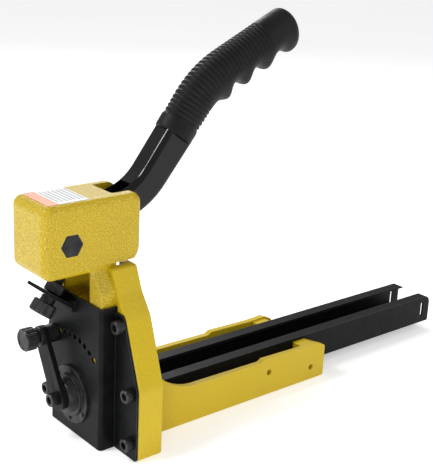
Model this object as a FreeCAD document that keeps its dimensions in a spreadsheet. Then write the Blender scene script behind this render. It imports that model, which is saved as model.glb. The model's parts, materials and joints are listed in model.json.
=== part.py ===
import FreeCAD, Part
import math
import os
import re

from FreeCAD import Placement, Rotation, Vector

# A hand-worked carton-closing stapler, in millimetres.
# Frame: X across the tool, Y from the nose (-Y) to the open magazine end (+Y), Z up.
# Origin: middle of the column's front face, at the level of the base that rests on the carton.

doc = FreeCAD.newDocument("carton_stapler")
sheet = doc.addObject("Spreadsheet::Sheet", "Sizes")
SIZES = {
    "column_width": 122, "column_depth": 21, "column_height": 134, "shoulder_height": 54, "top_width": 52,
    "recess_width": 41, "recess_depth": 14, "arm_thickness": 5, "arm_outer": 36, "arm_end": 208.5,
    "arm_height": 30.5, "arm_bore": 2.5,
    "channel_width": 40, "channel_bottom": 7.5, "channel_top": 32.5, "channel_wall": 2, "channel_lip": 9.4,
    "channel_start": 8.8, "channel_end": 364,
    "head_width": 43, "head_front": -51, "head_rear": 28, "head_bottom": 131.5, "head_top": 184,
    "head_wall": 8, "notch_half": 14, "leg_width": 62, "leg_front": 12.2, "leg_bottom": 56,
    "pivot_back": -29, "pivot_level": 155, "pivot_radius": 5, "hex_flats": 15, "running_gap": 0.05,
    "spring_radius": 8.2, "wire_radius": 0.8, "spring_pitch": 2.1,
    "cover_width": 67, "cover_depth": 14, "cover_height": 109, "cover_sheet": 1.6,
    "boss_across": -3, "boss_level": 31, "boss_radius": 21.9, "index_radius": 46.6, "index_hole": 2.5,
    "lever_angle": 29, "lever_width": 15, "lever_sheet": 4, "lever_face": -27.5, "shaft_radius": 6,
    "barrel_radius": 7, "barrel_front": 2, "knob_radius": 8.6, "pin_radius": 2.3,
    "cap_head": 5, "cap_height": 6, "cap_shank": 3, "small_head": 4.2, "small_height": 5, "small_shank": 2.5,
    "tube_width": 20, "tube_depth": 25, "tang_width": 16, "tang_depth": 18,
    "clevis_gap": 13, "link_line": 11, "link_width": 12, "link_depth": 5.2,
    "carrier_bottom": 70, "carrier_height": 26, "blade_width": 35, "blade_sheet": 1.6,
    "clincher_pivot": 11, "clincher_level": 17, "clincher_radius": 20, "clincher_sheet": 4.6,
    "wheel_radius": 9, "wheel_length": 9.2, "screw_radius": 4, "screw_tilt": 36, "nut_radius": 7,
}
for row, (alias, number) in enumerate(SIZES.items(), start=1):
    sheet.set(f"A{row}", alias.replace("_", " "))
    sheet.set(f"B{row}", str(number))
    sheet.setAlias(f"B{row}", alias)
doc.recompute()


def size(alias):
    return float(sheet.get(alias))


def bind(item, name, rule):
    """Sets one property, tied to the sheet where the rule is words such as column_depth + 2."""
    if isinstance(rule, str):
        item.setExpression(name, re.sub(r"[a-z]+_[a-z]+", r"Sizes.\g<0>", rule))
    else:
        setattr(item, name, rule)


# ---------------------------------------------------------------- outlines

def rounded(points):
    """Closed outline of lines, with an arc at each corner (x, y, radius) that has a radius."""
    ends = []
    count = len(points)
    for index, corner in enumerate(points):
        here = Vector(corner[0], corner[1], 0)
        radius = corner[2] if len(corner) > 2 else 0
        if not radius:
            ends.append((here, None, here))
            continue
        before = points[index - 1]
        after = points[(index + 1) % count]
        back = (Vector(before[0], before[1], 0) - here).normalize()
        onward = (Vector(after[0], after[1], 0) - here).normalize()
        half = back.getAngle(onward) / 2
        reach = radius / math.tan(half)
        middle_way = (back + onward).normalize()
        centre = here + middle_way * (radius / math.sin(half))
        ends.append((here + back * reach, centre - middle_way * radius, here + onward * reach))
    shapes = []
    for index, (start, middle, stop) in enumerate(ends):
        if middle is not None:
            shapes.append(Part.Arc(start, middle, stop))
        following = ends[(index + 1) % count][0]
        if stop.distanceToPoint(following) > 1e-6:
            shapes.append(Part.LineSegment(stop, following))
    return shapes


def rectangle(left, right, low, high, radius=0):
    return rounded([(left, low, radius), (right, low, radius), (right, high, radius), (left, high, radius)])


def circle(x, y, radius):
    return [Part.Circle(Vector(x, y, 0), Vector(0, 0, 1), radius)]


def mirrored(points):
    """Right half of an outline, completed on the left."""
    return points + [(-p[0],) + tuple(p[1:]) for p in reversed(points)]


def offset_corners(path, halves):
    """Corners of a bent strip's left side; halves gives its distance from the path at each point."""
    sides = []
    for index, (start, stop) in enumerate(zip(path[:-1], path[1:])):
        along = Vector(stop[0] - start[0], stop[1] - start[1], 0).normalize()
        left = Vector(-along.y, along.x, 0)
        first = Vector(start[0], start[1], 0) + left * halves[index]
        last = Vector(stop[0], stop[1], 0) + left * halves[index + 1]
        sides.append((first, last, (last - first).normalize()))
    corners = [(sides[0][0].x, sides[0][0].y)]
    for index in range(1, len(sides)):
        first, second = sides[index - 1], sides[index]
        cross = first[2].x * second[2].y - first[2].y * second[2].x
        gap = second[0] - first[0]
        reach = (gap.x * second[2].y - gap.y * second[2].x) / cross
        point = first[0] + first[2] * reach
        turn = path[index][2]
        half = halves[index]
        corners.append((point.x, point.y, turn - half if cross > 0 else turn + half))
    corners.append((sides[-1][1].x, sides[-1][1].y))
    return corners


def strip(path, halves):
    """Outline of a bent strip, the same distance to both sides of its path."""
    return offset_corners(path, halves) + list(reversed(offset_corners(path, [-half for half in halves])))


# ---------------------------------------------------------------- part design helpers

PLANES = {"top": "XY_Plane", "front": "XZ_Plane", "side": "YZ_Plane"}


def new_body(label):
    body = doc.addObject("PartDesign::Body", label)
    body.Label = label
    return body


def sketch(body, view, shapes, offset):
    """Sketch parallel to an origin plane. Front sketches lie at y = -offset, side ones at x = offset."""
    plane = [p for p in body.Origin.OriginFeatures if p.Role == PLANES[view]][0]
    drawing = body.newObject("Sketcher::SketchObject", "outline")
    drawing.AttachmentSupport = (plane, "")
    drawing.MapMode = "FlatFace"
    drawing.AttachmentOffset = Placement(Vector(0, 0, offset), Rotation())
    drawing.addGeometry(shapes, False)
    return drawing


def pad(body, view, shapes, offset, length, backward=False):
    drawing = sketch(body, view, shapes, offset)
    feature = body.newObject("PartDesign::Pad", "pad")
    feature.Profile = drawing
    bind(feature, "Length", length)
    feature.Reversed = backward
    body.Tip = feature
    doc.recompute()
    return feature


def pocket(body, view, shapes, offset, length):
    """Cuts along the sketch normal: front sketches cut towards -Y, side ones towards +X."""
    before = body.Tip.Shape.Volume
    drawing = sketch(body, view, shapes, offset)
    feature = body.newObject("PartDesign::Pocket", "pocket")
    feature.Profile = drawing
    bind(feature, "Length", length)
    feature.Reversed = True
    body.Tip = feature
    doc.recompute()
    if not feature.Shape.Volume < before - 1e-3:
        raise RuntimeError(f"pocket in {body.Label} cuts nothing")
    return feature


def round_edges(body, radius, chosen):
    """Fillets every edge of the body that the test accepts."""
    base = body.Tip
    edges = [f"Edge{n}" for n, edge in enumerate(base.Shape.Edges, start=1) if chosen(edge)]
    feature = body.newObject("PartDesign::Fillet", "fillet")
    feature.Base = (base, edges)
    feature.Radius = radius
    body.Tip = feature
    doc.recompute()
    if feature.Shape.isNull() or not feature.Shape.isValid():
        raise RuntimeError(f"fillet in {body.Label} fails")
    return feature


def turned(label, profile, axis, origin):
    """Solid of revolution: profile is (radius, distance along the axis) points."""
    body = new_body(label)
    drawing = sketch(body, "side", rounded(profile), 0)
    feature = body.newObject("PartDesign::Revolution", "turning")
    feature.Profile = drawing
    feature.ReferenceAxis = (drawing, ["V_Axis"])
    feature.Angle = 360
    body.Tip = feature
    body.Placement = Placement(Vector(*origin), Rotation(Vector(0, 0, 1), Vector(*axis)))
    doc.recompute()
    return body


def cylinder(name, radius, length, origin, axis):
    rod = doc.addObject("Part::Cylinder", name)
    bind(rod, "Radius", radius)
    bind(rod, "Height", length)
    rod.Placement = Placement(Vector(*origin), Rotation(Vector(0, 0, 1), Vector(*axis)))
    return rod


def prism(name, flats, length, origin, axis, spin=0):
    """Hexagonal bar; a spin of 30 degrees turns its corners from the second row axis to the third."""
    nut = doc.addObject("Part::Prism", name)
    nut.Polygon = 6
    bind(nut, "Circumradius", f"({flats}) / 1.7320508")
    bind(nut, "Height", length)
    lean = Rotation(Vector(0, 0, 1), Vector(*axis)) * Rotation(Vector(0, 0, 1), spin)
    nut.Placement = Placement(Vector(*origin), lean)
    return nut


def box(name, low, high):
    block = doc.addObject("Part::Box", name)
    block.Length, block.Width, block.Height = (b - a for a, b in zip(low, high))
    block.Placement = Placement(Vector(*low), Rotation())
    return block


def fuse(label, shapes):
    joined = doc.addObject("Part::MultiFuse", label)
    joined.Shapes = shapes
    joined.Label = label
    return joined


def cut(label, base, tools):
    tool = tools[0]
    if len(tools) > 1:
        tool = fuse(f"{label}_tools", tools)
    result = doc.addObject("Part::Cut", label)
    result.Base = base
    result.Tool = tool
    result.Label = label
    return result


def cap_screw(name, origin, axis, length, head="cap_head", height="cap_height", shank="cap_shank"):
    """Socket-head screw: the origin is under the head and the shank runs along the axis."""
    way = Vector(*axis).normalize()
    seat = Vector(*origin)
    tall = size(height)
    top = cylinder(f"{name}_head", head, height, seat - way * tall, axis)
    rod = cylinder(f"{name}_shank", shank, length, seat, axis)
    socket = prism(f"{name}_socket", head, f"{height} / 2", seat - way * tall, axis)
    return cut(name, fuse(f"{name}_blank", [top, rod]), [socket])


def group(label, pieces):
    """Identical fasteners that stay apart, kept as one sub-part."""
    together = doc.addObject("Part::Compound", label)
    together.Links = pieces
    together.Label = label
    return together


# ---------------------------------------------------------------- shared places

HALF_WIDTH = size("column_width") / 2
HALF_TOP = size("top_width") / 2
DEPTH = size("column_depth")
PIVOT = (size("pivot_back"), size("pivot_level"))
BOSS = (size("boss_across"), size("boss_level"))
COVER_FACE = -size("cover_depth")
LINK = size("link_line")
COVER_SCREWS = [(40.4, 97), (53.4, 50), (53.6, 12)]
HEAD_SCREWS = [(25.5, 66), (25.5, 106)]
ARM_HOLES = [(146, 19.2), (193.5, 11)]
REST_SLOPE = 18
KNOB_BORE = 9


def column_outline(inset=0):
    shoulder = size("shoulder_height")
    right = [
        (HALF_WIDTH - inset, 0, 2),
        (HALF_WIDTH - inset, shoulder, 14),
        (HALF_TOP + 18 - inset, 102, 16),
        (HALF_TOP + 7 - inset, 117, 24),
        (HALF_TOP - inset, size("column_height"), 3),
    ]
    return rounded(mirrored(right))


# ---------------------------------------------------------------- frame: column and two arms

def frame_casting():
    body = new_body("frame_casting")
    pad(body, "front", column_outline(), 0, "column_depth", backward=True)
    round_edges(body, 1.5, lambda edge: edge.BoundBox.YLength < 0.01)
    rail = size("channel_width") / 2
    recess = size("recess_width") / 2
    height = size("column_height")
    pocket(body, "front", rectangle(-recess, recess, -5, height + 5), -size("recess_depth"), 20)
    opening = rectangle(-rail - 0.1, rail + 0.1, size("channel_bottom") - 0.5, size("channel_top") + 0.5)
    pocket(body, "front", opening, -DEPTH - 5, 30)
    notch = size("notch_half")
    saddle = rounded([(-notch, 108, 8), (notch, 108, 8), (notch, height + 5), (-notch, height + 5)])
    pocket(body, "front", saddle, -DEPTH - 5, 30)
    for across, level in COVER_SCREWS:
        for sign in (-1, 1):
            pocket(body, "front", circle(sign * across, level, size("cap_shank") + 0.05), -15, 20)
    for across, level in HEAD_SCREWS:
        for sign in (-1, 1):
            pocket(body, "front", circle(sign * across, level, size("small_shank") + 0.05), -DEPTH - 5, 30)
    return body


def side_arm(label, sign):
    """Arm that runs back from the column with a swept root, and hooks in to hold the magazine."""
    body = new_body(label)
    top = size("arm_height")
    end = size("arm_end")
    sweep = 46
    side = [
        (DEPTH, 0), (end, 0, 2), (end, top - 3, 3), (199, top + 0.8, 4), (181, top), (140, top + 1),
        (136.5, top - 1.2), (75, top - 0.5, 1), (DEPTH + 4, top - 0.5, sweep), (DEPTH + 4, 86, 6), (DEPTH, 96),
    ]
    outer = size("arm_outer")
    inner = outer - size("arm_thickness")
    rail = size("channel_width") / 2
    start = inner if sign > 0 else -outer
    pad(body, "side", rounded(side), start, "arm_thickness")
    hook_start = end - 22
    hook_end = end - 0.8
    hook = rounded([(hook_start, 15), (hook_end, 15), (hook_end, top - 4.5), (199, top - 0.8), (hook_start, top - 1)])
    pad(body, "side", hook, rail if sign > 0 else -inner - 1, inner + 1 - rail)
    for along, level in ARM_HOLES:
        pocket(body, "side", circle(along, level, size("arm_bore")), start - 5, 15)
    return body


# ---------------------------------------------------------------- head: hood, leg and tongue, one casting

def head_casting():
    body = new_body("head_casting")
    half = size("head_width") / 2
    low = size("head_bottom")
    top = size("head_top")
    front = size("head_front")
    rear = size("head_rear")
    side = [(front, low, 8), (rear, low, 14), (rear, top, 7), (front, top, 7)]
    pad(body, "side", rounded(side), -half, "head_width")
    round_edges(body, 5, lambda edge: edge.BoundBox.XLength < 0.01)
    pocket(body, "side", rectangle(2, rear + 5, low - 5, low + 5), -half - 5, 2 * half + 10)
    wide = size("leg_width") / 2
    bottom = size("leg_bottom")
    neck = half - 0.5
    leg = rounded(mirrored([(wide, bottom, 3), (wide, low - 13, 6), (neck, low + 1, 4), (neck, low + 6)]))
    pad(body, "front", leg, 0, "leg_front")
    tongue = size("recess_width") / 2 - 0.3
    pad(body, "front", rectangle(-tongue, tongue, 97, low + 6), 0, 7.5, backward=True)
    leg_face = size("leg_front")
    pocket(body, "front", rectangle(-22, 22, bottom - 5, 98), -10, leg_face + 20)
    pocket(body, "front", rounded([(-17, 102, 4), (17, 102, 4), (17, low), (-17, low)]), -5.5, leg_face + 10)
    notch = size("notch_half")
    pocket(body, "front", rectangle(-notch, notch, 122, low + 7), -10, 12.5)
    pocket(body, "front", rectangle(-notch, notch, low - 2, low + 7), -10, 20)
    cavity = half - size("head_wall")
    pocket(body, "top", rectangle(-cavity, cavity, front + 7, rear - 6), low - 5, top - 5 - (low - 5))
    pocket(body, "front", rectangle(-12.5, 12.5, low + 1, top + 5), -rear - 5, 15)
    pocket(body, "top", rectangle(-12.5, 12.5, 8, rear + 5, 2), top - 12, 20)
    pocket(body, "side", circle(*PIVOT, size("pivot_radius") + size("running_gap")), -half - 5, 2 * half + 10)
    hexagon = [(PIVOT[0] + (size("hex_flats") + 0.4) / math.sqrt(3) * math.cos(math.radians(60 * k)),
                PIVOT[1] + (size("hex_flats") + 0.4) / math.sqrt(3) * math.sin(math.radians(60 * k)))
               for k in range(6)]
    for start in (-half - 1, half - 5):
        pocket(body, "side", rounded(hexagon), start, 6)
    for across, level in HEAD_SCREWS:
        for sign in (-1, 1):
            pocket(body, "front", circle(sign * across, level, 2.5), -5, 14)
    return body


def head_label():
    half = size("head_width") / 2 - 4.5
    body = new_body("head_label")
    pad(body, "top", rectangle(-half, half, -45, -13, 1.5), size("head_top"), 0.25)
    return body


def head_screws():
    screws = []
    for across, level in HEAD_SCREWS:
        for sign in (-1, 1):
            name = f"head_screw_{len(screws) + 1}"
            seat = (sign * across, DEPTH, level)
            screws.append(cap_screw(name, seat, (0, -1, 0), 28, "small_head", "small_height", "small_shank"))
    return group("head_screws", screws)


# ---------------------------------------------------------------- pivot of the handle

def pivot_bolt():
    half = size("head_width") / 2
    across = (half - 0.2, *PIVOT)
    head = prism("pivot_head", "hex_flats", 4.7, across, (-1, 0, 0), 30)
    rod = cylinder("pivot_rod", "pivot_radius", 2 * half - 0.4, across, (-1, 0, 0))
    return fuse("pivot_bolt", [head, rod])


def pivot_nut():
    half = size("head_width") / 2
    nut = prism("nut_blank", "hex_flats", 4.4, (-half + 0.4, *PIVOT), (1, 0, 0), 30)
    return cut("pivot_nut", nut, [cylinder("nut_bore", "pivot_radius", 10, (-half - 1, *PIVOT), (1, 0, 0))])


def pivot_spacer():
    gap = size("clevis_gap") / 2 - 0.3
    sleeve = cylinder("sleeve_blank", 6.6, 2 * gap, (-gap, *PIVOT), (1, 0, 0))
    return cut("pivot_spacer", sleeve, [cylinder("sleeve_bore", "pivot_radius", 30, (-15, *PIVOT), (1, 0, 0))])


def torsion_spring():
    """Coils round the spacer, as separate rings; the bent legs are left out."""
    rings = []
    for turn in range(4):
        ring = doc.addObject("Part::Torus", f"spring_ring_{turn + 1}")
        bind(ring, "Radius1", "spring_radius")
        bind(ring, "Radius2", "wire_radius")
        across = (turn - 1.5) * size("spring_pitch")
        ring.Placement = Placement(Vector(across, *PIVOT), Rotation(Vector(0, 0, 1), Vector(1, 0, 0)))
        rings.append(ring)
    return group("torsion_spring", rings)


# ---------------------------------------------------------------- handle

def handle_path():
    slope = math.tan(math.radians(REST_SLOPE))
    start = (PIVOT[0] - 11, PIVOT[1] - 11 * slope)
    bend = (38.8, PIVOT[1] + (38.8 - PIVOT[0]) * slope, 52)
    return [start, bend, (95.7, 251, 85), (166, 285)]


GRIP_START = (70.5, 217.5)


def handle_lever():
    body = new_body("handle_lever")
    half = size("tube_width") / 2
    path = handle_path()
    crown = size("tube_depth") / 2
    eye = 10.5
    outline = strip([path[0], path[1], GRIP_START], [eye, crown - 1, crown])
    outline[0] += (eye - 1,)
    outline[-1] += (eye - 1,)
    pad(body, "side", rounded(outline), -half, "tube_width")
    round_edges(body, 4.5, lambda edge: edge.BoundBox.XLength < 0.01)
    thin = size("tang_depth") / 2
    tang_start = (GRIP_START[0] - 3, GRIP_START[1] - 4)
    tang = strip([tang_start, path[2], path[3]], [thin] * 3)
    pad(body, "side", rounded(tang), -size("tang_width") / 2, "tang_width")
    gap = size("clevis_gap") / 2
    pocket(body, "side", rounded([(-60, 120), (28, 120), (28, 200), (-60, 200)]), -gap, "clevis_gap")
    pocket(body, "side", circle(*PIVOT, size("pivot_radius") + size("running_gap")), -30, 60)
    slope = math.radians(REST_SLOPE)
    near = (LINK - PIVOT[0]) - 1.5
    far = (LINK - PIVOT[0]) / math.cos(math.radians(24)) + 1.5
    slot_half = 2.8
    corners = []
    for reach, side in ((near - 3, -1), (far + 3, -1), (far + 3, 1), (near - 3, 1)):
        along = reach * math.cos(slope) - side * slot_half * math.sin(slope)
        up = reach * math.sin(slope) + side * slot_half * math.cos(slope)
        corners.append((PIVOT[0] + along, PIVOT[1] + up, slot_half - 0.1))
    pocket(body, "side", rounded(corners), -30, 60)
    return body


# Stations of the grip: distance from the collar, back half, finger half, half width.
GRIP_STATIONS = [
    (0, 15.4, 14, 13), (8, 15.6, 14.3, 13.2), (22, 15.8, 15, 13.6), (36, 16, 14.4, 13.8), (52, 16.2, 20.2, 14),
    (62.6, 16.4, 12.6, 13.6), (74.3, 16.4, 19.8, 14), (84.5, 16.4, 12.2, 13.6), (96.5, 16.4, 19.4, 14),
    (109.4, 16.2, 12, 13.6), (122, 15.8, 18.6, 13.8), (128, 14.6, 17, 12.8), (132, 11.4, 13, 10.4),
    (134.5, 5.5, 6, 5.5),
]


def grip_place(distance):
    """Point and direction on the grip's middle line, a distance from its collar."""
    bend, end = (Vector(p[0], p[1], 0) for p in handle_path()[2:])
    radius = handle_path()[2][2]
    start = Vector(*GRIP_START, 0)
    first = (bend - start).normalize()
    second = (end - bend).normalize()
    turn = first.getAngle(second)
    reach = radius * math.tan(turn / 2)
    straight = (bend - start).Length - reach
    if distance <= straight:
        return start + first * distance, first
    inward = Vector(first.y, -first.x, 0)
    centre = start + first * straight + inward * radius
    swept = min((distance - straight) / radius, turn)
    point = centre - inward * radius * math.cos(swept) + first * radius * math.sin(swept)
    direction = first * math.cos(swept) + inward * math.sin(swept)
    return point + direction * max(0, distance - straight - radius * turn), direction


def handle_grip():
    """Rubber sleeve with finger scallops on its lower side and a round end."""
    sections = []
    for index, (distance, back, fingers, wide) in enumerate(GRIP_STATIONS):
        point, direction = grip_place(distance)
        above = Vector(-direction.y, direction.x, 0)
        centre = point + above * (back - fingers) / 2
        section = doc.addObject("Part::Ellipse", f"grip_section_{index}")
        section.MajorRadius = max((back + fingers) / 2, wide)
        section.MinorRadius = min((back + fingers) / 2, wide)
        onward = Vector(0, direction.x, direction.y)
        lean = Rotation(Vector(0, above.x, above.y), Vector(1, 0, 0), onward, "ZXY")
        section.Placement = Placement(Vector(0, centre.x, centre.y), lean)
        sections.append(section)
    sleeve = doc.addObject("Part::Loft", "grip_sleeve")
    sleeve.Sections = sections
    sleeve.Solid = True
    path = handle_path()
    thin = size("tang_depth") / 2 + size("running_gap")
    tang_half = size("tang_width") / 2 + size("running_gap")
    inside = new_body("grip_inside")
    bore = strip([(GRIP_START[0] - 6, GRIP_START[1] - 8), path[2], path[3]], [thin] * 3)
    pad(inside, "side", rounded(bore), -tang_half, 2 * tang_half)
    return cut("handle_grip", sleeve, [inside])


# ---------------------------------------------------------------- driver and its drive

def driver_link():
    """Flat bar from the carrier up to the slot in the lever."""
    body = new_body("driver_link")
    half = size("link_width") / 2
    rise = (LINK - PIVOT[0]) * math.tan(math.radians(REST_SLOPE))
    pin_level = PIVOT[1] + rise
    low_side = 8.4
    high_side = low_side + size("link_depth")
    bar = rounded([(low_side, 79), (high_side, 79), (high_side, pin_level + half, 2), (low_side, pin_level + half, 2)])
    pad(body, "side", bar, -half, "link_width")
    pocket(body, "side", circle(LINK, pin_level, 2.05), -20, 40)
    for level in (84, 92):
        pocket(body, "front", circle(0, level, 1.6), -20, 20)
    return body


def link_pin():
    rise = (LINK - PIVOT[0]) * math.tan(math.radians(REST_SLOPE))
    return cylinder("link_pin", 2, 19.6, (-9.8, LINK, PIVOT[1] + rise), (1, 0, 0))


def driver_carrier():
    body = new_body("driver_carrier")
    base = size("carrier_bottom")
    profile = rectangle(-19.8, 19.8, base, base + size("carrier_height"), 2)
    pad(body, "front", profile, -6.8, 17.2)
    pocket(body, "front", rectangle(-9, 9, 80, 95, 3), 3, 12)
    for level in (84, 92):
        pocket(body, "front", circle(0, level, 1.6), -8, 12)
    return body


def driver_blade():
    body = new_body("driver_blade")
    half = size("blade_width") / 2
    base = size("carrier_bottom")
    pad(body, "front", rectangle(-half, half, 31, base + 25, 0.4), -8.4, "blade_sheet")
    for level in (84, 92):
        pocket(body, "front", circle(0, level, 1.6), -10, 6)
    return body


def carrier_screws():
    pieces = [cylinder(f"carrier_screw_{n}", 1.55, 16, (0, -2.4, level), (0, 1, 0))
              for n, level in enumerate((84, 92), start=1)]
    return group("carrier_screws", pieces)


def nose_plate():
    """Front guide: a plate on the column's face with a block that closes the blade's path."""
    body = new_body("nose_plate")
    half = size("leg_width") / 2
    pad(body, "front", rectangle(-half, half, 1, 38, 2), 0, 2)
    block = size("recess_width") / 2 - 0.2
    pad(body, "front", rectangle(-block, block, 1, 38, 0.5), 0, 6.3, backward=True)
    for sign in (-1, 1):
        across = sign * size("clincher_pivot")
        pocket(body, "front", circle(across, size("clincher_level"), 2.5), -8, 14)
        for level in (6, 33):
            pocket(body, "front", circle(sign * 26.5, level, 1.6), -5, 10)
    return body


def nose_screws():
    pieces = []
    for sign in (-1, 1):
        for level in (6, 33):
            place = (sign * 26.5, 0, level)
            pieces.append(cylinder(f"nose_screw_{len(pieces) + 1}", 1.55, 2, place, (0, -1, 0)))
    return group("nose_screws", pieces)


def clincher(label, sign):
    """Curved finger that sweeps in under the staple's leg."""
    body = new_body(label)
    pivot = (sign * size("clincher_pivot"), size("clincher_level"))
    outer = size("clincher_radius")
    inner = outer - 4.5

    def polar(radius, degrees):
        turn = math.radians(degrees)
        return Vector(pivot[0] + sign * radius * math.sin(turn), pivot[1] - radius * math.cos(turn), 0)

    tip, heel = 40, 112
    finger = [
        Part.Arc(polar(outer, tip), polar(outer, (tip + heel) / 2), polar(outer, heel)),
        Part.LineSegment(polar(outer, heel), polar(3, heel + 60)),
        Part.LineSegment(polar(3, heel + 60), polar(3, heel - 60)),
        Part.LineSegment(polar(3, heel - 60), polar(inner, heel - 18)),
        Part.Arc(polar(inner, heel - 18), polar(inner, (tip + heel) / 2), polar(inner, tip + 12)),
        Part.LineSegment(polar(inner, tip + 12), polar(outer, tip)),
    ]
    pad(body, "front", finger, 2.4, "clincher_sheet")
    pad(body, "front", circle(*pivot, 5), 2.4, "clincher_sheet")
    pocket(body, "front", circle(*pivot, 2.55), 0, 10)
    return body


def clincher_pins():
    pieces = []
    for sign in (-1, 1):
        place = (sign * size("clincher_pivot"), 6.3, size("clincher_level"))
        rod = cylinder(f"clincher_rod_{len(pieces) + 1}", 2.5, 15, place, (0, -1, 0))
        seat = (place[0], -7.3, place[2])
        head = cylinder(f"clincher_head_{len(pieces) + 1}", 4.2, 1.4, seat, (0, -1, 0))
        pieces.append(fuse(f"clincher_pin_{len(pieces) + 1}", [rod, head]))
    return group("clincher_pins", pieces)


# ---------------------------------------------------------------- magazine

def magazine_channel():
    body = new_body("magazine_channel")
    half = size("channel_width") / 2
    wall = size("channel_wall")
    low = size("channel_bottom")
    high = size("channel_top")
    start = size("channel_start")
    end = size("channel_end")
    lip = half - size("channel_lip")
    side = [(start, low), (end, low, 1), (end, high, 7), (start, high)]
    pad(body, "side", rounded(side), -half, "channel_width")
    inner = half - wall
    pocket(body, "front", rectangle(-inner, inner, low + wall, high - wall, 1), -end - 5, end + 20)
    pocket(body, "front", rectangle(-lip, lip, high - wall - 1, high + 5), -end - 5, end + 20)
    slot = rectangle(end - 11.5, end - 8, low + 5.5, high - 5, 1.6)
    pocket(body, "side", slot, -half - 5, 2 * half + 10)
    return body


def pusher():
    """Follower block that feeds the staples to the nose."""
    body = new_body("pusher")
    half = size("channel_width") / 2 - size("channel_wall") - 0.4
    low = size("channel_bottom") + size("channel_wall") + 0.4
    high = size("channel_top") - size("channel_wall") - 0.4
    pad(body, "side", rounded([(9.2, low), (38, low, 2), (38, high, 2), (9.2, high)]), -half, 2 * half)
    pocket(body, "side", circle(27, low + 9, 6.2), -half + 4, 2 * half - 8)
    neck = size("channel_width") / 2 - size("channel_lip") - 0.6
    tab = rounded([(22, high - 1), (36, high - 1), (36, high + 9, 3), (27, high + 9, 3)])
    pad(body, "side", tab, -neck, 2 * neck)
    return body


def pusher_coil():
    low = size("channel_bottom") + size("channel_wall") + 0.4
    return cylinder("pusher_coil", 6, 20, (-10, 27, low + 9), (1, 0, 0))


# ---------------------------------------------------------------- front cover

def front_cover():
    body = new_body("front_cover")
    sheet_depth = size("cover_sheet")
    half = size("cover_width") / 2
    height = size("cover_height")
    depth = size("cover_depth")
    pad(body, "front", column_outline(0.4), 0, "cover_sheet")
    over = rectangle(-100, 100, 105, 150)
    pocket(body, "front", over, -5, 20)
    pad(body, "front", rectangle(-half, half, 0, height), 0, "cover_depth")

    def front_upright(edge):
        centre = edge.CenterOfMass
        return abs(centre.y + depth) < 0.01 and edge.BoundBox.ZLength > 50

    round_edges(body, 3, front_upright)
    inner = half - sheet_depth
    well = [(-inner, 5), (-inner, sheet_depth - depth, 1.5), (inner, sheet_depth - depth, 1.5), (inner, 5)]
    pocket(body, "top", rounded(well), -5, height + 20)
    for step in range(9):
        turn = math.radians(-size("lever_angle") + 8.2 * step)
        across = BOSS[0] + size("index_radius") * math.sin(turn)
        level = BOSS[1] + size("index_radius") * math.cos(turn)
        pocket(body, "front", circle(across, level, size("index_hole")), depth - 6, 12)
    pocket(body, "front", circle(*BOSS, size("shaft_radius") + 0.4), depth - 6, 12)
    for across, level in COVER_SCREWS:
        for sign in (-1, 1):
            pocket(body, "front", circle(sign * across, level, size("cap_shank") + 0.1), -5, 10)
    return body


def cover_screws():
    pieces = []
    seat = -size("cover_sheet")
    for across, level in COVER_SCREWS:
        for sign in (-1, 1):
            place = (sign * across, seat, level)
            pieces.append(cap_screw(f"cover_screw_{len(pieces) + 1}", place, (0, 1, 0), 14))
    return group("cover_screws", pieces)


# ---------------------------------------------------------------- depth adjuster

def bearing_flange():
    bore = size("shaft_radius") + size("running_gap")
    rim = size("boss_radius")
    profile = [(bore, 0), (rim, 0), (rim, 2, 0.6), (16.4, 2), (16, 4, 0.6),
               (13, 4), (12.8, 5, 0.4), (11.4, 9, 1.5), (bore, 9)]
    return turned("bearing_flange", profile, (0, -1, 0), (BOSS[0], COVER_FACE, BOSS[1]))


def flange_screws():
    pieces = []
    for step in range(6):
        turn = math.radians(2 + 60 * step)
        place = (BOSS[0] + 19.2 * math.sin(turn), COVER_FACE - 2, BOSS[1] + 19.2 * math.cos(turn))
        pieces.append(cylinder(f"flange_screw_{step + 1}", 1.7, 1, place, (0, -1, 0)))
    return group("flange_screws", pieces)


def adjuster_shaft():
    radius = size("shaft_radius")
    start = COVER_FACE + size("cover_sheet") + 0.4
    rod = cylinder("shaft_rod", radius, start - size("lever_face") - size("lever_sheet"),
                   (BOSS[0], start, BOSS[1]), (0, -1, 0))
    cam = cylinder("shaft_cam", 8.5, 1.2, (BOSS[0] + 1.5, start + 1.2, BOSS[1]), (0, -1, 0))
    return fuse("adjuster_shaft", [rod, cam])


def lever_spot(reach, side=0):
    """Point in front view, measured along the depth lever from its pivot."""
    turn = math.radians(-size("lever_angle"))
    across = BOSS[0] + reach * math.sin(turn) + side * math.cos(turn)
    level = BOSS[1] + reach * math.cos(turn) - side * math.sin(turn)
    return (across, level)


def adjuster_lever():
    body = new_body("adjuster_lever")
    broad = size("lever_width") / 2 + 1.5
    slim = size("lever_width") / 2
    tip = size("index_radius") + slim
    outline = [lever_spot(-broad, -broad) + (broad - 1,), lever_spot(-broad, broad) + (broad - 1,),
               lever_spot(tip, slim) + (slim - 1,), lever_spot(tip, -slim) + (slim - 1,)]
    back = -size("lever_face") - size("lever_sheet")
    pad(body, "front", rounded(list(reversed(outline))), back, "lever_sheet")
    barrel = size("barrel_radius") - 1
    pocket(body, "front", circle(*lever_spot(size("index_radius")), barrel), 15, 25)
    pocket(body, "front", circle(*BOSS, size("cap_shank")), 15, 25)
    return body


def lever_screw():
    place = (BOSS[0], size("lever_face"), BOSS[1])
    return cap_screw("lever_screw", place, (0, 1, 0), 3.9)


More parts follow.
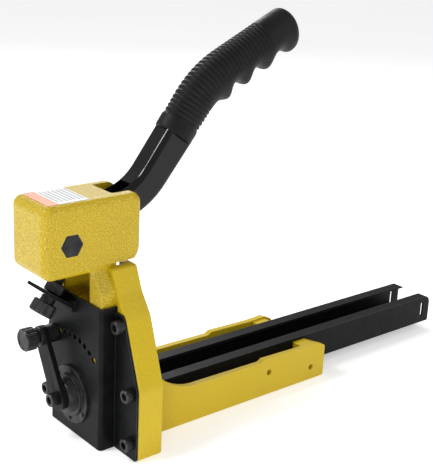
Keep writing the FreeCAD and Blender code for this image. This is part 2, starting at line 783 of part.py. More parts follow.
def plunger_barrel():
    bore = size("pin_radius") + size("running_gap")
    radius = size("barrel_radius")
    back = COVER_FACE - 0.6
    lever_back = size("lever_face") + size("lever_sheet")
    near = back - lever_back
    through = back - size("lever_face")
    front = through + size("barrel_front")
    profile = [(bore, 0), (radius, 0, 0.6), (radius, near), (radius - 1, near), (radius - 1, through),
               (radius, through), (radius, front, 0.6), (bore, front)]
    across, level = lever_spot(size("index_radius"))
    return turned("plunger_barrel", profile, (0, -1, 0), (across, back, level))


def plunger_pin():
    """Pin from just off the cover to the bottom of the knob's bore."""
    across, level = lever_spot(size("index_radius"))
    tip = COVER_FACE - 0.3
    seat = size("lever_face") - size("barrel_front") - KNOB_BORE
    return cylinder("plunger_pin", "pin_radius", tip - seat, (across, tip, level), (0, -1, 0))


def plunger_knob():
    radius = size("knob_radius")
    across, level = lever_spot(size("index_radius"))
    front = size("lever_face") - size("barrel_front")
    profile = [(size("pin_radius"), 0.3), (4.8, 0.3), (4.8, 2.6), (radius, 3.2, 0.8), (radius, 12, 1), (0, 12),
               (0, KNOB_BORE), (size("pin_radius"), KNOB_BORE)]
    return turned("plunger_knob", profile, (0, -1, 0), (across, front, level))


# ---------------------------------------------------------------- stop screw and its bracket

TILT = math.radians(size("screw_tilt"))
SCREW_AXIS = Vector(0, math.sin(TILT), math.cos(TILT))
WHEEL = Vector(-14.3, -31, 98.5)


def on_screw(distance):
    return WHEEL + SCREW_AXIS * distance


def adjuster_bracket():
    """Sloped lip across the screw, with a cheek that is riveted to the cover."""
    spin = Rotation(Vector(1, 0, 0), -size("screw_tilt"))
    lip = doc.addObject("Part::Box", "bracket_lip")
    lip.Length, lip.Width, lip.Height = 30, 30, 2.4
    corner = on_screw(9.6) + spin.multVec(Vector(-15, -12, 0))
    lip.Placement = Placement(corner, spin)
    behind = box("bracket_clear", (-60, COVER_FACE, 60), (40, 30, 160))
    hole = cylinder("bracket_bore", size("screw_radius") + 0.05, 40, on_screw(-5), SCREW_AXIS)
    slope = cut("bracket_slope", lip, [behind, hole])
    foot = box("bracket_foot", (WHEEL.x - 15, COVER_FACE - 2.4, 96.5), (WHEEL.x + 15, COVER_FACE, 105))
    rivets = []
    for side in (-1, 1):
        place = (WHEEL.x + side * 11.5, COVER_FACE - 2.4, 103)
        rivets.append(cylinder(f"bracket_rivet_{side}", 1.6, 1.2, place, (0, -1, 0)))
    return fuse("adjuster_bracket", [slope, foot] + rivets)


def thumbscrew():
    radius = size("wheel_radius")
    half = size("wheel_length") / 2
    thread = size("screw_radius")
    profile = [(0, -half), (radius, -half, 0.8), (radius, half, 0.8), (5.4, half),
               (5.4, half + 4.6), (thread, half + 4.6), (thread, 26, 1), (0, 26)]
    return turned("thumbscrew", profile, tuple(SCREW_AXIS), tuple(WHEEL))


def lock_nut():
    bore = size("screw_radius") + 0.05
    radius = size("nut_radius")
    profile = [(bore, 0), (radius, 0, 0.8), (radius, 8, 0.8), (bore, 8)]
    return turned("lock_nut", profile, tuple(SCREW_AXIS), tuple(on_screw(12.4)))


# ---------------------------------------------------------------- the whole stapler

BUILDERS = [
    frame_casting, head_casting, head_label, head_screws, pivot_bolt, pivot_nut, pivot_spacer, torsion_spring,
    handle_lever, handle_grip, driver_link, link_pin, driver_carrier, driver_blade, carrier_screws,
    nose_plate, nose_screws, clincher_pins, magazine_channel, pusher, pusher_coil,
    front_cover, cover_screws, bearing_flange, flange_screws, adjuster_shaft, adjuster_lever, lever_screw,
    plunger_barrel, plunger_pin, plunger_knob, adjuster_bracket, thumbscrew, lock_nut,
]
nodes = {builder.__name__: builder() for builder in BUILDERS}
nodes["right_arm"] = side_arm("right_arm", 1)
nodes["left_arm"] = side_arm("left_arm", -1)
nodes["clincher_right"] = clincher("clincher_right", 1)
nodes["clincher_left"] = clincher("clincher_left", -1)
for label, item in nodes.items():
    item.Label = label
doc.recompute()

for item in doc.Objects:
    if "Invalid" in item.State or "Error" in item.State:
        raise RuntimeError(f"{item.Label} did not compute")
for label, item in nodes.items():
    shape = item.Shape
    if shape.isNull() or not shape.isValid() or shape.Volume <= 0:
        raise RuntimeError(f"{label} is not a valid solid")

os.makedirs("parts", exist_ok=True)
for label, item in nodes.items():
    item.Shape.exportStep(f"parts/{label}.step")
    print(f"{label}: {item.Shape.Volume / 1000:.2f} cm3, {len(item.Shape.Solids)} solid(s)")
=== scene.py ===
import json
import math

import bmesh
import bpy
from mathutils import Matrix, Vector


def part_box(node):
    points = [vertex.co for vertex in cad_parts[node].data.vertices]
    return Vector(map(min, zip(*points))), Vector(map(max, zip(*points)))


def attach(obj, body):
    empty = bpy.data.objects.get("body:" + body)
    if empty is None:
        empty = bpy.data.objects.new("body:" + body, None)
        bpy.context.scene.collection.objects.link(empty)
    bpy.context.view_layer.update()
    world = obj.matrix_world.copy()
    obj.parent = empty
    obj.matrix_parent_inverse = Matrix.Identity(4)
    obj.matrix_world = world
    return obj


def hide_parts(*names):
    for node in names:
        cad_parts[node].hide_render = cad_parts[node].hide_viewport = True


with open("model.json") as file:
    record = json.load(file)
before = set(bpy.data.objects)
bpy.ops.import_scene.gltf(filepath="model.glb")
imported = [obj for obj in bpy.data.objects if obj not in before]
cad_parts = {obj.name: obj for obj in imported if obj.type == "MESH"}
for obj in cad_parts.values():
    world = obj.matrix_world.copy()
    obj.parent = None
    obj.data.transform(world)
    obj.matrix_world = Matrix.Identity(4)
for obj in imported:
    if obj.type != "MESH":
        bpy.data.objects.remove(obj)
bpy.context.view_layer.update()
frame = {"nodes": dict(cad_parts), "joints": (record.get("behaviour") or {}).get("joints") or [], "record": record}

MM = 0.001
NODES = frame["nodes"]
JOINTS = {joint["name"]: joint for joint in frame["joints"]}
SLOTS = {row["node"]: row["material_slot"] for row in frame["record"]["subparts"]}
BODY_OF = {node: body for body, nodes in frame["record"]["behaviour"]["bodies"].items() for node in nodes}


# ---------------------------------------------------------------- materials

class Recipe:
    """A procedural material: a principled shader and short ways to add the nodes that feed it."""

    def __init__(self, name):
        self.material = bpy.data.materials.new(name)
        self.material.use_nodes = True
        self.tree = self.material.node_tree
        self.shader = self.tree.nodes["Principled BSDF"]
        self.place = self.add("ShaderNodeTexCoord").outputs["Object"]

    def add(self, kind, **settings):
        node = self.tree.nodes.new(kind)
        for key, value in settings.items():
            setattr(node, key, value)
        return node

    def link(self, source, target):
        self.tree.links.new(source, target)

    def fixed(self, **values):
        for key, value in values.items():
            self.shader.inputs[key.replace("_", " ")].default_value = value

    def noise(self, size, detail=3.0, stretch=(1, 1, 1)):
        """Cloudy pattern whose features are about the given size in metres."""
        mapping = self.add("ShaderNodeMapping")
        mapping.inputs["Scale"].default_value = stretch
        self.link(self.place, mapping.inputs["Vector"])
        texture = self.add("ShaderNodeTexNoise")
        texture.inputs["Scale"].default_value = 1 / size
        texture.inputs["Detail"].default_value = detail
        self.link(mapping.outputs["Vector"], texture.inputs["Vector"])
        return texture.outputs["Fac"]

    def cells(self, size):
        """Rounded cells, as in hammered paint."""
        texture = self.add("ShaderNodeTexVoronoi", feature="SMOOTH_F1")
        texture.inputs["Scale"].default_value = 1 / size
        texture.inputs["Smoothness"].default_value = 0.6
        self.link(self.place, texture.inputs["Vector"])
        return texture.outputs["Distance"]

    def maths(self, operation, first, second):
        node = self.add("ShaderNodeMath", operation=operation)
        for index, value in enumerate((first, second)):
            if isinstance(value, (int, float)):
                node.inputs[index].default_value = value
            else:
                self.link(value, node.inputs[index])
        return node.outputs["Value"]

    def ramp(self, factor, stops):
        """stops: (position, colour) from low to high."""
        node = self.add("ShaderNodeValToRGB")
        while len(node.color_ramp.elements) < len(stops):
            node.color_ramp.elements.new(0.5)
        for element, (position, colour) in zip(node.color_ramp.elements, stops):
            element.position = position
            element.color = (*colour, 1)
        self.link(factor, node.inputs["Fac"])
        return node.outputs["Color"]

    def mix(self, factor, first, second):
        node = self.add("ShaderNodeMix", data_type="RGBA")
        self.link(factor, node.inputs["Factor"])
        for slot_name, value in (("A", first), ("B", second)):
            socket = [s for s in node.inputs if s.name == slot_name and s.type == "RGBA"][0]
            if isinstance(value, tuple):
                socket.default_value = (*value, 1)
            else:
                self.link(value, socket)
        return [s for s in node.outputs if s.type == "RGBA"][0]

    def edges(self, radius, low=0.02, high=0.25):
        """1 along sharp edges and 0 on open faces."""
        bevel = self.add("ShaderNodeBevel", samples=4)
        bevel.inputs["Radius"].default_value = radius
        geometry = self.add("ShaderNodeNewGeometry")
        dot = self.add("ShaderNodeVectorMath", operation="DOT_PRODUCT")
        self.link(bevel.outputs["Normal"], dot.inputs[0])
        self.link(geometry.outputs["Normal"], dot.inputs[1])
        spread = self.add("ShaderNodeMapRange")
        spread.inputs["From Min"].default_value = 1 - low
        spread.inputs["From Max"].default_value = 1 - high
        self.link(dot.outputs["Value"], spread.inputs["Value"])
        return spread.outputs["Result"]

    def rough(self, factor, low, high):
        spread = self.add("ShaderNodeMapRange")
        spread.inputs["To Min"].default_value = low
        spread.inputs["To Max"].default_value = high
        self.link(factor, spread.inputs["Value"])
        self.link(spread.outputs["Result"], self.shader.inputs["Roughness"])

    def bump(self, height, depth, strength=1.0):
        node = self.add("ShaderNodeBump")
        node.inputs["Distance"].default_value = depth
        node.inputs["Strength"].default_value = strength
        self.link(height, node.inputs["Height"])
        self.link(node.outputs["Normal"], self.shader.inputs["Normal"])


def painted(name, dark, middle, pale, cell, depth, contrast, low, high, coat):
    """Metallic powder coat: grains of the given cell size, and paler colour at the edges, partly thinner paint and
    partly a painted edge highlight.
    """
    recipe = Recipe(name)
    shadowed = tuple(0.93 * part for part in middle)
    colour = recipe.ramp(recipe.noise(30 * MM, 2), [(0.2, shadowed), (0.8, middle)])
    grain = recipe.noise(cell, 1.5)
    shaded = recipe.mix(recipe.ramp(grain, [(0.30, (contrast,) * 3), (0.46, (0, 0, 0))]), colour, dark)
    speckled = recipe.mix(recipe.ramp(grain, [(0.54, (0, 0, 0)), (0.70, (contrast,) * 3)]), shaded, pale)
    # Paler along sharp edges: a painted edge highlight, with thinner paint there.
    edge_wear_and_highlight = recipe.maths("MULTIPLY", recipe.edges(1.2 * MM), 0.45)
    recipe.link(recipe.mix(edge_wear_and_highlight, speckled, pale), recipe.shader.inputs["Base Color"])
    recipe.rough(recipe.noise(cell * 2, 2), low, high)
    peel = recipe.maths("ADD", recipe.cells(cell), recipe.maths("MULTIPLY", recipe.noise(cell * 0.5, 2), 0.4))
    recipe.bump(peel, depth)
    recipe.fixed(Coat_Weight=coat, Coat_Roughness=0.14, Specular_IOR_Level=0.32)
    return recipe.material


def hammer_yellow():
    return painted(
        "hammer_yellow_paint", dark=(0.31, 0.21, 0.002), middle=(0.56, 0.39, 0.003), pale=(0.84, 0.67, 0.07),
        cell=0.9 * MM, depth=0.30 * MM, contrast=0.65, low=0.24, high=0.38, coat=0.16)


def frame_yellow():
    return painted(
        "frame_yellow_paint", dark=(0.44, 0.30, 0.002), middle=(0.62, 0.44, 0.004), pale=(0.74, 0.57, 0.03),
        cell=0.9 * MM, depth=0.08 * MM, contrast=0.4, low=0.38, high=0.52, coat=0.05)


def dark_finish(name, dark, pale, edge_wear_and_highlight, grain, depth, low, high, metallic=0.0, coat=0.0, shine=0.5):
    """Black coatings: fine grain, uneven sheen, and edges painted lighter, partly wear and partly a painted edge
    highlight.
    """
    recipe = Recipe(name)
    colour = recipe.ramp(recipe.noise(9 * MM, 4), [(0.35, dark), (0.7, pale)])
    # Lighter colour along sharp edges: a painted edge highlight, with some wear.
    recipe.link(recipe.mix(recipe.edges(0.7 * MM), colour, edge_wear_and_highlight), recipe.shader.inputs["Base Color"])
    recipe.rough(recipe.noise(4 * MM, 3), low, high)
    recipe.bump(recipe.noise(grain, 2), depth)
    recipe.fixed(Metallic=metallic, Coat_Weight=coat, Coat_Roughness=0.06, Specular_IOR_Level=shine)
    return recipe.material


def black_coat():
    # The lighter edge colour here is a painted edge highlight.
    return dark_finish(
        "satin_black_coat", dark=(0.004, 0.0044, 0.0048), pale=(0.008, 0.0084, 0.0092),
        edge_wear_and_highlight=(0.085, 0.085, 0.09), grain=0.7 * MM, depth=0.05 * MM, low=0.34, high=0.50, shine=0.1)


def gloss_black():
    return dark_finish(
        "gloss_black_enamel", dark=(0.002, 0.002, 0.0025), pale=(0.004, 0.004, 0.005),
        edge_wear_and_highlight=(0.012, 0.012, 0.013), grain=6 * MM, depth=0.04 * MM, low=0.07, high=0.14, coat=0.12, shine=0.26)


def black_oxide():
    return dark_finish(
        "black_oxide_steel", dark=(0.018, 0.018, 0.019), pale=(0.040, 0.040, 0.043),
        edge_wear_and_highlight=(0.14, 0.14, 0.15), grain=0.5 * MM, depth=0.02 * MM, low=0.30, high=0.46,
        metallic=0.6, shine=0.35)


def bare_steel():
    """Ground steel with fine lines along the tool's length."""
    recipe = Recipe("ground_steel")
    lines = recipe.noise(1.2 * MM, 3, (1, 0.05, 1))
    recipe.link(recipe.ramp(lines, [(0.3, (0.42, 0.43, 0.45)), (0.7, (0.62, 0.63, 0.65))]),
                recipe.shader.inputs["Base Color"])
    recipe.rough(lines, 0.22, 0.40)
    recipe.bump(lines, 0.02 * MM)
    recipe.fixed(Metallic=1.0)
    return recipe.material


def grip_rubber():
    """Moulded rubber: dull, with fine pores and rubbed patches."""
    recipe = Recipe("moulded_rubber")
    shades = [(0.3, (0.004, 0.004, 0.0045)), (0.75, (0.009, 0.009, 0.0095))]
    recipe.link(recipe.ramp(recipe.noise(14 * MM, 4), shades), recipe.shader.inputs["Base Color"])
    recipe.rough(recipe.noise(8 * MM, 3), 0.42, 0.60)
    recipe.bump(recipe.noise(0.45 * MM, 3), 0.06 * MM)
    recipe.fixed(Specular_IOR_Level=0.2)
    return recipe.material


BAND_SHARE = 0.27
LINE_PITCH = 3.2 * MM
LINE_GAP_SHARE = 0.48
LINE_REACH_SHARE = 0.38
INK_STRENGTH = 0.8


def label_print():
    """Blank film label: a warm band at the front, and plain ruled lines on a pale field."""
    recipe = Recipe("blank_label_film")
    low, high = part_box("head_label")
    split = recipe.add("ShaderNodeSeparateXYZ")
    recipe.link(recipe.place, split.inputs["Vector"])
    across, along = split.outputs["X"], split.outputs["Y"]
    band_edge = low.y + (high.y - low.y) * BAND_SHARE
    field = recipe.maths("GREATER_THAN", along, band_edge)
    past_band = recipe.maths("SUBTRACT", along, band_edge)
    phase = recipe.maths("FRACT", recipe.maths("DIVIDE", past_band, LINE_PITCH), 0)
    ruled = recipe.maths("MULTIPLY", recipe.maths("GREATER_THAN", phase, LINE_GAP_SHARE), field)
    off_centre = recipe.maths("ABSOLUTE", across, 0)
    inset = recipe.maths("LESS_THAN", off_centre, (high.x - low.x) * LINE_REACH_SHARE)
    lines = recipe.maths("MULTIPLY", recipe.maths("MULTIPLY", ruled, inset), INK_STRENGTH)
    film = recipe.ramp(recipe.noise(6 * MM, 3), [(0.3, (0.56, 0.57, 0.57)), (0.7, (0.64, 0.65, 0.65))])
    band = recipe.ramp(recipe.noise(6 * MM, 3), [(0.3, (0.62, 0.13, 0.015)), (0.7, (0.72, 0.18, 0.025))])
    printed = recipe.mix(lines, recipe.mix(field, band, film), (0.12, 0.13, 0.15))
    recipe.link(printed, recipe.shader.inputs["Base Color"])
    recipe.rough(recipe.noise(5 * MM, 2), 0.24, 0.38)
    recipe.bump(recipe.noise(2.5 * MM, 2), 0.03 * MM)
    return recipe.material


def floor_paper():
    recipe = Recipe("pale_floor")
    recipe.link(recipe.ramp(recipe.noise(0.4, 2), [(0.3, (0.90, 0.90, 0.90)), (0.7, (0.93, 0.93, 0.93))]),
                recipe.shader.inputs["Base Color"])
    recipe.rough(recipe.noise(0.2, 2), 0.75, 0.9)
    recipe.fixed(Emission_Color=(1, 1, 1, 1), Emission_Strength=0.42)
    return recipe.material


FINISHES = {
    make.__name__: make()
    for make in (hammer_yellow, frame_yellow, black_coat, gloss_black, black_oxide, bare_steel, grip_rubber,
                 label_print)
}


# ---------------------------------------------------------------- mesh helpers

def finish_piece(name, bm, node, smooth_angle=35):
    """Makes the mesh an object that stands for a CAD node, with that node's finish and body."""
    bmesh.ops.recalc_face_normals(bm, faces=bm.faces)
    for edge in bm.edges:
        edge.smooth = edge.calc_face_angle(0) < math.radians(smooth_angle)
    for face in bm.faces:
        face.smooth = True
    mesh = bpy.data.meshes.new(name)
    bm.to_mesh(mesh)
    bm.free()
    piece = bpy.data.objects.new(name, mesh)
    bpy.context.scene.collection.objects.link(piece)
    mesh.materials.append(FINISHES[SLOTS[node]])
    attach(piece, BODY_OF[node])
    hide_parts(node)
    return piece


def bridge(bm, rings, closed_start=True, closed_end=True):
    """Joins rings of points, each as long as the next, into one skin."""
    made = [[bm.verts.new(point) for point in ring] for ring in rings]
    for first, second in zip(made[:-1], made[1:]):
        for index in range(len(first)):
            after = (index + 1) % len(first)
            bm.faces.new((first[index], first[after], second[after], second[index]))
    if closed_start:
        bm.faces.new(list(reversed(made[0])))
    if closed_end:
        bm.faces.new(made[-1])


SIDES = 96


def round_form(radius, turn, along):
    return radius


def hexagon(radius, turn, along):
    """radius is half the distance across the flats."""
    sixth = math.pi / 3
    return radius / math.cos((turn + sixth / 2) % sixth - sixth / 2)


def knurl(teeth, depth):
    """Straight knurl with rounded teeth."""
    def form(radius, turn, along):
        return radius - depth * (0.5 + 0.5 * math.cos(teeth * turn)) ** 2
    return form


def thread(pitch, depth):
    def form(radius, turn, along):
        phase = (along / pitch - turn / (2 * math.pi)) % 1
        return radius - depth * abs(2 * phase - 1)
    return form


def turned_rings(profile, origin, axis):
    """Rings of a turned shape, end to end: profile is (radius, distance along the axis, form)."""
    spin = Vector((0, 0, 1)).rotation_difference(Vector(axis)).to_matrix().to_4x4()
    place = Matrix.Translation(Vector(origin)) @ spin
    rings = []
    for radius, along, form in profile:
        ring = []
        for step in range(SIDES):
            turn = 2 * math.pi * step / SIDES
            reach = form(radius, turn, along)
            ring.append(place @ Vector((reach * math.cos(turn), reach * math.sin(turn), along)))
        rings.append(ring)
    return rings


def add_turning(bm, profile, origin, axis):
    bridge(bm, turned_rings(profile, origin, axis))


def knurled_band(radius, start, stop, teeth, depth, chamfer):
    """Rings of a knurled rim with a smooth chamfer at both ends."""
    form = knurl(teeth, depth)
    return [(radius - chamfer, start, round_form), (radius - depth, start + chamfer * 0.7, round_form),
            (radius, start + chamfer, form), (radius, stop - chamfer, form),
            (radius - depth, stop - chamfer * 0.7, round_form), (radius - chamfer, stop, round_form)]


def threaded_rod(radius, start, stop, pitch):
    form = thread(pitch, pitch * 0.45)
    steps = max(2, round((stop - start) / (pitch / 6)))
    return [(radius, start + (stop - start) * step / steps, form) for step in range(steps + 1)]


# ---------------------------------------------------------------- screws and wheels

CAP = {"head": 5 * MM, "tall": 6 * MM, "shank": 3 * MM}
SMALL_CAP = {"head": 4.2 * MM, "tall": 5 * MM, "shank": 2.5 * MM}
COVER_SCREWS = [(40.4 * MM, 97 * MM), (53.4 * MM, 50 * MM), (53.6 * MM, 12 * MM)]
HEAD_SCREWS = [(25.5 * MM, 66 * MM), (25.5 * MM, 106 * MM)]
THREAD_PITCH = 1.25 * MM


def add_cap_screw(bm, seat, axis, length, kind):
    """Socket-head screw with a knurled rim: seat is the middle of the face under the head."""
    head, tall, shank = kind["head"], kind["tall"], kind["shank"]
    socket = head * 0.55
    rim = 0.5 * MM
    floor = -tall * 0.45
    form = knurl(32, 0.22 * MM)
    profile = [(socket * 0.2, floor, round_form), (socket * 0.98, floor, hexagon), (socket, -tall, hexagon),
               (head - rim, -tall, round_form), (head - 0.1 * MM, -tall + rim, round_form)]
    profile += [(head, -tall + 1.4 * rim, form), (head, -0.7 * rim, form), (head - 0.2 * MM, 0, round_form),
                (shank, 0, round_form), (shank, length - rim, round_form), (shank - rim, length, round_form)]
    add_turning(bm, profile, seat, axis)


def cover_screws():
    bm = bmesh.new()
    seat_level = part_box("cover_screws")[0].y + CAP["tall"]
    for across, level in COVER_SCREWS:
        for sign in (-1, 1):
            add_cap_screw(bm, (sign * across, seat_level, level), (0, 1, 0), 13.9 * MM, CAP)
    finish_piece("cover_cap_screws", bm, "cover_screws")


def head_screws():
    bm = bmesh.new()
    seat_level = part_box("head_screws")[1].y - SMALL_CAP["tall"]
    for across, level in HEAD_SCREWS:
        for sign in (-1, 1):
            add_cap_screw(bm, (sign * across, seat_level, level), (0, -1, 0), 27.9 * MM, SMALL_CAP)
    finish_piece("head_cap_screws", bm, "head_screws")


def lever_screw():
    low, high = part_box("lever_screw")
    bm = bmesh.new()
    seat = ((low.x + high.x) / 2, low.y + CAP["tall"], (low.z + high.z) / 2)
    add_cap_screw(bm, seat, (0, 1, 0), 3.8 * MM, CAP)
    finish_piece("lever_cap_screw", bm, "lever_screw")


def plunger_knob():
    """Knurled pull knob with a dished, turned end face."""
    low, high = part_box("plunger_knob")
    radius = (high.x - low.x) / 2
    back = high.y
    length = high.y - low.y
    neck = 4.8 * MM
    profile = [(neck * 0.5, 0, round_form), (neck, 0, round_form), (neck, 2.2 * MM, round_form)]
    profile += knurled_band(radius, 2.6 * MM, length, 40, 0.5 * MM, 0.9 * MM)
    profile += [(radius - 2.2 * MM, length, round_form), (radius - 2.6 * MM, length - 0.5 * MM, round_form),
                (0.6 * MM, length - 0.5 * MM, round_form)]
    bm = bmesh.new()
    add_turning(bm, profile, ((low.x + high.x) / 2, back, (low.z + high.z) / 2), (0, -1, 0))
    finish_piece("knurled_pull_knob", bm, "plunger_knob")


def stop_screw():
    """Knurled wheel, neck and threaded stem of the stop screw."""
    joint = JOINTS["stop_screw_turn"]
    radius, half = 9 * MM, 4.6 * MM
    neck, stem, tip = 5.4 * MM, 4 * MM, 26 * MM
    profile = [(1 * MM, -half + 0.6 * MM, round_form), (radius - 3 * MM, -half + 0.6 * MM, round_form),
               (radius - 2.4 * MM, -half, round_form)]
    profile += knurled_band(radius, -half, half, 44, 0.5 * MM, 0.8 * MM)
    neck_end = 2 * half
    profile += [(neck, half, round_form), (neck, neck_end - 0.3 * MM, round_form)]
    profile += [(stem, neck_end, round_form)]
    profile += threaded_rod(stem, neck_end + 0.1 * MM, tip - 1 * MM, THREAD_PITCH)
    profile += [(stem - 1 * MM, tip, round_form)]
    bm = bmesh.new()
    add_turning(bm, profile, joint["pos_m"], joint["axis"])
    finish_piece("knurled_stop_screw", bm, "thumbscrew")


def stop_nut():
    """Knurled lock wheel, hollow round the stem."""
    joint = JOINTS["stop_nut_turn"]
    radius, bore = 7 * MM, 4.05 * MM
    start, stop = 12.4 * MM, 20.4 * MM
    rim = knurled_band(radius, start, stop, 34, 0.45 * MM, 0.8 * MM)
    inside = [(bore, stop, round_form), (bore, start, round_form)]
    rings = turned_rings(rim + inside + rim[:1], joint["pos_m"], joint["axis"])
    bm = bmesh.new()
    bridge(bm, rings, closed_start=False, closed_end=False)
    bmesh.ops.remove_doubles(bm, verts=bm.verts, dist=0.001 * MM)
    finish_piece("knurled_lock_nut", bm, "lock_nut")


# ---------------------------------------------------------------- grip

GRIP_START = Vector((0, 70.5, 217.5)) * MM
GRIP_BEND = Vector((0, 95.7, 251)) * MM
GRIP_END = Vector((0, 166, 285)) * MM
GRIP_TURN_RADIUS = 85 * MM
GRIP_LENGTH = 134.5 * MM
GRIP_LOW_END = -3 * MM
DOME = 10 * MM
COLLAR = 8 * MM
RIB_PITCH = 3.5 * MM
RIB_DEPTH = 0.75 * MM
RIBS_ALL_ROUND = 30 * MM
RIBS_END = 104 * MM
# Finger side: distance from the collar and half depth, high between the fingers and low under them.
FINGER_SIDE = [(-3, 14), (22, 15), (36, 14.4), (52, 20.2), (62.6, 12.6), (74.3, 19.8), (84.5, 12.2),
               (96.5, 19.4), (109.4, 12), (122, 18.6), (134.5, 17.5)]


def eased(low, high, value):
    share = min(1, max(0, (value - low) / (high - low)))
    return share * share * (3 - 2 * share)


def finger_half(distance):
    for (start, first), (stop, second) in zip(FINGER_SIDE[:-1], FINGER_SIDE[1:]):
        if distance <= stop * MM:
            share = eased(start * MM, stop * MM, distance)
            toward_peak = share if second > first else 1 - share
            return (min(first, second) + abs(second - first) * toward_peak ** 1.4) * MM
    return FINGER_SIDE[-1][1] * MM


def grip_place(distance):
    """Point and direction of the grip's middle line, a distance from its collar."""
    first = (GRIP_BEND - GRIP_START).normalized()
    second = (GRIP_END - GRIP_BEND).normalized()
    turn = first.angle(second)
    straight = (GRIP_BEND - GRIP_START).length - GRIP_TURN_RADIUS * math.tan(turn / 2)
    if distance <= straight:
        return GRIP_START + first * distance, first
    inward = Vector((0, first.z, -first.y))
    centre = GRIP_START + first * straight + inward * GRIP_TURN_RADIUS
    swept = min((distance - straight) / GRIP_TURN_RADIUS, turn)
    point = centre - inward * GRIP_TURN_RADIUS * math.cos(swept) + first * GRIP_TURN_RADIUS * math.sin(swept)
    direction = first * math.cos(swept) + inward * math.sin(swept)
    beyond = max(0, distance - straight - GRIP_TURN_RADIUS * turn)
    return point + direction * beyond, direction


def rib_cut(distance, upward):
    """Depth of the groove between two ribs; upward is 1 on the grip's back and -1 under the fingers."""
    if distance < COLLAR or distance > RIBS_END:
        return 0
    wave = 0.5 - 0.5 * math.cos(2 * math.pi * (distance - COLLAR) / RIB_PITCH)
    back_only = eased(-0.25, 0.1, upward)
    spread = 1 if distance < RIBS_ALL_ROUND else back_only
    fade = 1 - eased(RIBS_END - 4 * MM, RIBS_END, distance)
    return RIB_DEPTH * wave ** 1.5 * spread * fade


def ribbed_grip():
    rings = []
    around = 96
    steps = round((GRIP_LENGTH - GRIP_LOW_END) / (0.35 * MM))
    for step in range(steps + 1):
        distance = GRIP_LOW_END + (GRIP_LENGTH - GRIP_LOW_END) * step / steps
        point, direction = grip_place(distance)
        above = Vector((0, -direction.z, direction.y))
        into_dome = max(0, distance - (GRIP_LENGTH - DOME)) / DOME
        shrink = math.sqrt(max(0.0006, 1 - into_dome ** 2))
        lip = 0.5 * MM * (1 - eased(COLLAR - 1 * MM, COLLAR, distance))
        lip -= 0.7 * MM * (1 - eased(GRIP_LOW_END, GRIP_LOW_END + 0.8 * MM, distance))
        back = (15.4 + 1 * eased(0, 60 * MM, distance)) * MM
        wide = (13 + 1 * eased(0, 50 * MM, distance)) * MM
        ring = []
        for index in range(around):
            turn = 2 * math.pi * index / around
            upward = math.cos(turn)
            high = back if upward > 0 else finger_half(distance)
            trim = lip - rib_cut(distance, upward)
            rise = upward * (high * shrink + trim)
            side = math.sin(turn) * (wide * shrink + trim)
            ring.append(point + above * rise + Vector((side, 0, 0)))
        rings.append(ring)
    bm = bmesh.new()
    bridge(bm, rings)
    finish_piece("ribbed_grip", bm, "handle_grip", smooth_angle=60)


# ---------------------------------------------------------------- carried-over CAD nodes

SOFTENED = {"frame_casting": 0.5, "head_casting": 0.4, "front_cover": 0.35, "magazine_channel": 0.35,
            "adjuster_lever": 0.5, "adjuster_bracket": 0.3, "nose_plate": 0.3, "bearing_flange": 0.2,
            "pivot_bolt": 0.4, "pusher": 0.4, "right_arm": 0.5, "left_arm": 0.5, "handle_lever": 0.9}


def soften(node, width):
    """Rounds a node's sharp edges without touching its own mesh."""
    item = NODES[node]
    weld = item.modifiers.new("weld", "WELD")
    weld.merge_threshold = 0.002 * MM
    bevel = item.modifiers.new("soft_edges", "BEVEL")
    bevel.width = width * MM
    bevel.segments = 2
    bevel.limit_method = "ANGLE"
    bevel.angle_limit = math.radians(40)
    normals = item.modifiers.new("even_shading", "WEIGHTED_NORMAL")
    normals.keep_sharp = True


def dress_nodes():
    for node, item in NODES.items():
        item.data.materials.clear()
        item.data.materials.append(FINISHES[SLOTS[node]])
    for node, width in SOFTENED.items():
        soften(node, width)


# ---------------------------------------------------------------- stage, light and camera

TARGET = Vector((26.7, 111.2, 137.6)) * MM
VIEW_RIGHT = Vector((0.6473, 0.7606, 0.0495))
VIEW_UP = Vector((-0.2727, 0.1705, 0.9469))
VIEW_BACK = Vector((0.7118, -0.6264, 0.3178))
VIEW_DISTANCE = 778.9 * MM
LENS = 85.95
FRAMING_SHIFT = (-0.0453, 0.0109)
FLOOR_RADIUS = 60.0


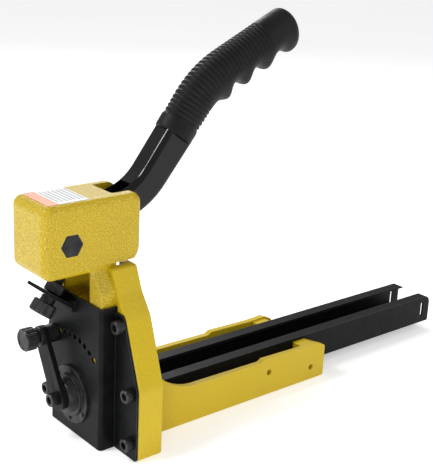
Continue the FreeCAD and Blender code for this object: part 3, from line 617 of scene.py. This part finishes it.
def studio():
    """Wide pale floor and an even, soft room."""
    bm = bmesh.new()
    bmesh.ops.create_circle(bm, cap_ends=True, segments=96, radius=FLOOR_RADIUS,
                            matrix=Matrix.Translation((0, 0, -0.3 * MM)))
    mesh = bpy.data.meshes.new("floor")
    bm.to_mesh(mesh)
    bm.free()
    mesh.materials.append(floor_paper())
    floor = bpy.data.objects.new("floor", mesh)
    bpy.context.scene.collection.objects.link(floor)

    world = bpy.data.worlds.new("soft_room")
    world.use_nodes = True
    world.node_tree.nodes["Background"].inputs["Color"].default_value = (1, 1, 1, 1)
    world.node_tree.nodes["Background"].inputs["Strength"].default_value = 0.5
    bpy.context.scene.world = world


def lamp(name, place, size_m, watts):
    light = bpy.data.lights.new(name, "AREA")
    light.size = size_m
    light.energy = watts
    item = bpy.data.objects.new(name, light)
    item.location = place
    item.rotation_euler = (TARGET - Vector(place)).to_track_quat("-Z", "Y").to_euler()
    bpy.context.scene.collection.objects.link(item)


def lights():
    lamp("key", TARGET - VIEW_RIGHT * 0.9 + VIEW_UP * 1.1 + VIEW_BACK * 0.7, 0.4, 12)
    lamp("fill", TARGET + VIEW_RIGHT * 1.3 + VIEW_UP * 0.5 + VIEW_BACK * 0.6, 0.8, 3)
    lamp("edge_glint", TARGET + Vector((0.46, -0.56, -0.04)), 0.14, 0.8)
    lamp("back_edge", TARGET - VIEW_BACK * 0.9 + VIEW_UP * 1.2 - VIEW_RIGHT * 0.3, 0.5, 7)


def camera():
    data = bpy.data.cameras.new("camera")
    data.sensor_width = 36
    data.sensor_fit = "HORIZONTAL"
    data.lens = LENS
    data.shift_x, data.shift_y = FRAMING_SHIFT
    item = bpy.data.objects.new("camera", data)
    turn = Matrix((VIEW_RIGHT, VIEW_UP, VIEW_BACK)).transposed().to_4x4()
    item.matrix_world = Matrix.Translation(TARGET + VIEW_BACK * VIEW_DISTANCE) @ turn
    bpy.context.scene.collection.objects.link(item)
    bpy.context.scene.camera = item


dress_nodes()
for build in (cover_screws, head_screws, lever_screw, plunger_knob, stop_screw, stop_nut, ribbed_grip):
    build()
studio()
lights()
camera()
bpy.context.scene.view_settings.view_transform = "Standard"
